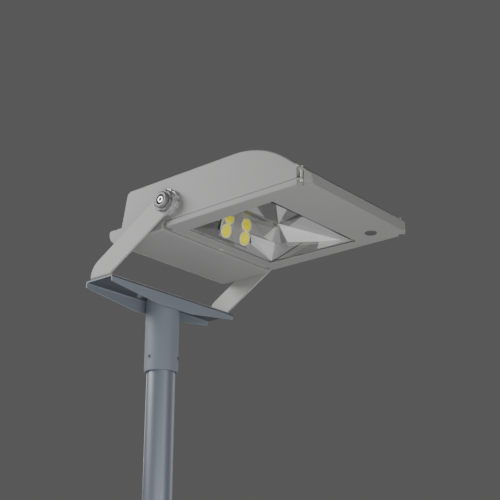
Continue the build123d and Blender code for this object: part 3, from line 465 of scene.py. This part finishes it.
# Painted light and shade: tone of the fan's facets, standing for their reflections, each
# from its first edge on, counted from straight behind the star's point round the left side
# to the front and back along the right side.
STAR_PAINTED_TONES = [
    (0.0, MIRROR_REAR, 0.24),
    (-MIRROR_HALF, PIVOT.y - 0.160, 0.13),
    (-0.1445, MIRROR_FRONT, 0.51),
    (-0.0977, MIRROR_FRONT, 0.19),
    (-0.0552, MIRROR_FRONT, 0.06),
    (-0.0346, MIRROR_FRONT, 0.42),
    (MIRROR_HALF, PIVOT.y - 0.252, 1.0),
    (MIRROR_HALF, PIVOT.y - 0.0774, 0.18),
    (MIRROR_HALF, PIVOT.y - 0.0580, 0.37),
    (0.157, MIRROR_REAR, 0.57),
    (0.121, MIRROR_REAR, 0.24),
]

# Painted light and shade within the facets: a tone, then lines in plan from start to end, in
# millimetres from the pivot. The area lies to the right of all its lines.
STAR_PAINTED_MASKS = [
    (0.17, ((18, -199), (-36, -277)), ((-37, -278), (0, -176)), ((0, -176), (165, -252))),
    (0.36, ((-58, -178), (-122, -210)), ((-116, -173), (-58, -178))),
    (0.08, ((10, -160), (-112, -170)), ((-110, -147), (26, -147)), ((26, -147), (10, -190))),
]

powder_coat = coat_group()
metal_grain = grain_group()
finishes = {
    "pole_coat": coated("pole coat", (0.214, 0.235, 0.274), 0.42, metallic=0.6),
    "bracket_coat": coated("bracket coat", STEEL_BLUE, metallic=0.3),
    "arm_coat": coated("arm coat", (0.30, 0.30, 0.296)),
    "housing_coat": housing_material(),
    "door_coat": door_material(),
    "ring_metal": metal("ring metal", (0.165, 0.165, 0.165), 0.5, metallic=0.3),
    "bright_steel": metal("bright steel", (0.48, 0.48, 0.47), 0.32),
    "dark_steel": metal("dark steel", (0.08, 0.08, 0.085), 0.4, metallic=0.6),
    "bare_aluminium": metal("bare aluminium", CAST, 0.42, metallic=0.3),
    "reflector_sheet": star_material(),
    "clear_glass": glass_material(),
    "white_board": moulded("white board", (0.82, 0.81, 0.83), 0.35, bump=0.05),
    "yellow_phosphor": emitter_material(),
    "driver_case": moulded("driver case", (0.70, 0.70, 0.69)),
    "pale_plastic": moulded("pale plastic", (0.60, 0.58, 0.53)),
    "dark_plastic": moulded("dark plastic", (0.075, 0.075, 0.078)),
    "black_rubber": moulded("black rubber", (0.02, 0.02, 0.02), 0.7),
}
slot_of = {entry["node"]: entry["material_slot"] for entry in frame["record"]["subparts"]}


def dress(names, material):
    """Gives nodes one material of their own."""
    for name in names:
        nodes[name].data.materials.clear()
        nodes[name].data.materials.append(material)


for name in nodes:
    dress([name], finishes[slot_of[name]])

# Rear wall: tones painted for its reflections and shade.
rear_wall = wall_material(
    "rear wall sheet",
    0.21,
    [
        ((0.014, -0.0612), (-0.019, -0.0197), 0.42),
        ((0.165, -0.0552), (0.060, -0.0342), 0.94),
        ((0.158, -0.0056), (0.059, -0.0094), 0.12),
        ((0.158, -0.0030), (0.059, -0.0068), 0.44),
    ],
    "X",
    0.4,
    0.5,
)
# Side walls: tones painted for their reflections and shade.
side_wall = wall_material(
    "side wall sheet",
    0.31,
    [
        ((-0.1190, -0.0266), (-0.0214, -0.0552), 0.04),
        ((-0.1280, -0.0270), (-0.0310, -0.0570), 0.27),
        ((-0.1425, -0.0383), (-0.0881, -0.0523), 0.19),
        ((-0.1777, -0.0454), (-0.1745, -0.0560), 0.50),
    ],
    "Y",
    0.25,
    0.3,
)
dress(["rear_reflector"], rear_wall)
dress(["side_reflector_right", "side_reflector_left"], side_wall)
dress(["traverse_plate"], channel_material())
dress(["door_screws"], metal("plated screw", (0.48, 0.48, 0.47), 0.5, metallic=0.3))
dress(["led_carrier"], carrier_material())
dress(["bracket_bolts"], metal("dull zinc", (0.22, 0.23, 0.24), 0.5, metallic=0.5))
dress(["pole_sleeve"], coated("sleeve coat", (0.168, 0.19, 0.226), 0.6, metallic=0.15))
dress(["index_rings"], metal("turned ring", (0.38, 0.38, 0.38), 0.42, metallic=0.4))
dress(["glass_gasket"], moulded("pale seal", (0.50, 0.50, 0.49), 0.6))


# Printed border on the glass


def add_glass_border():
    """Pale ceramic print on the upper face of the pane, mostly hidden by the door's lip."""
    shape = bmesh.new()
    outer, inner = [
        [shape.verts.new((*on_plan(point), PRINT_LEVEL)) for point in points]
        for points in (PRINT_OUTER, PRINT_INNER)
    ]
    for place in range(4):
        after = (place + 1) % 4
        shape.faces.new((outer[place], outer[after], inner[after], inner[place]))
    raised = bmesh.ops.extrude_face_region(shape, geom=shape.faces[:], use_keep_orig=True)
    top = [item for item in raised["geom"] if isinstance(item, bmesh.types.BMVert)]
    bmesh.ops.translate(shape, verts=top, vec=(0, 0, PRINT_T))
    bmesh.ops.recalc_face_normals(shape, faces=shape.faces[:])
    mesh = bpy.data.meshes.new("glass_border")
    shape.to_mesh(mesh)
    shape.free()
    border = bpy.data.objects.new("glass_border", mesh)
    bpy.context.collection.objects.link(border)
    mesh.materials.append(moulded("ceramic print", (0.46, 0.46, 0.455), 0.5, bump=0.05))
    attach(border, "door")


add_glass_border()

# Camera, at the photograph's viewing angle: 500 by 500 pixels, 1027 pixels of focal length

HEADING = math.radians(50.07)
TILT = math.radians(20.09)
CAMERA_PLACE = Vector((-1.8858, -1.8846, -0.2307))
FOCAL_PX = 1027.0
IMAGE_PX = 500.0
SENSOR = 36.0
VIEW_DEPTH = 60.0

# Stage: floor, world light and soft boxes (name, place, size, watts), all aimed at the lamp
FLOOR_LEVEL = -1.1
FLOOR_HALF = 14.0
WORLD_COLOUR = (0.83, 0.825, 0.825, 1)
WORLD_STRENGTH = 0.125
LAMP_MIDDLE = Vector((0, -0.25, 0.7))
SOFT_BOXES = [
    ("key", (-1.9, 1.95, 2.0), (1.8, 1.8), 98),
    ("front", (-0.6, -4.2, 1.0), (1.6, 2.4), 22),
    ("rear", (2.2, 3.4, 1.8), (3.0, 2.4), 55),
    ("side", (3.4, -0.6, 0.9), (2.0, 2.4), 20),
    ("bounce", (-0.8, -1.2, -1.0), (3.2, 3.2), 88),
    ("low front", (-3.2, -3.0, -0.7), (2.4, 1.6), 30),
]


def add_camera():
    data = bpy.data.cameras.new("photo camera")
    data.sensor_width = SENSOR
    data.lens = SENSOR * FOCAL_PX / IMAGE_PX
    data.clip_end = VIEW_DEPTH
    camera = bpy.data.objects.new("photo camera", data)
    bpy.context.collection.objects.link(camera)
    ahead = Vector(
        (
            math.sin(HEADING) * math.cos(TILT),
            math.cos(HEADING) * math.cos(TILT),
            math.sin(TILT),
        )
    )
    right = Vector((math.cos(HEADING), -math.sin(HEADING), 0.0))
    above = right.cross(ahead)
    turn = Matrix((right, above, -ahead)).transposed()
    camera.matrix_world = Matrix.Translation(CAMERA_PLACE) @ turn.to_4x4()
    bpy.context.scene.camera = camera


def add_soft_box(name, place, size, power):
    """Rectangular lamp, itself out of the camera's sight."""
    data = bpy.data.lights.new(name, "AREA")
    data.shape = "RECTANGLE"
    data.size, data.size_y = size
    data.energy = power
    lamp = bpy.data.objects.new(name, data)
    bpy.context.collection.objects.link(lamp)
    lamp.location = place
    lamp.rotation_euler = (LAMP_MIDDLE - Vector(place)).to_track_quat("-Z", "Y").to_euler()
    lamp.visible_camera = False


def add_stage():
    """Pale floor well below the lamp, soft world light and soft boxes."""
    floor_mesh = bpy.data.meshes.new("floor")
    floor = bpy.data.objects.new("floor", floor_mesh)
    bpy.context.collection.objects.link(floor)
    shape = bmesh.new()
    bmesh.ops.create_grid(shape, x_segments=1, y_segments=1, size=FLOOR_HALF)
    bmesh.ops.translate(shape, verts=shape.verts, vec=(0, 0, FLOOR_LEVEL))
    shape.to_mesh(floor_mesh)
    shape.free()
    paint = coated("pale floor", (0.62, 0.62, 0.62), 0.85, grain=FLOOR_GRAIN)
    floor_mesh.materials.append(paint)
    world = bpy.data.worlds.new("studio")
    world.use_nodes = True
    back = world.node_tree.nodes["Background"]
    back.inputs["Color"].default_value = WORLD_COLOUR
    back.inputs["Strength"].default_value = WORLD_STRENGTH
    bpy.context.scene.world = world
    for box in SOFT_BOXES:
        add_soft_box(*box)


add_camera()
add_stage()
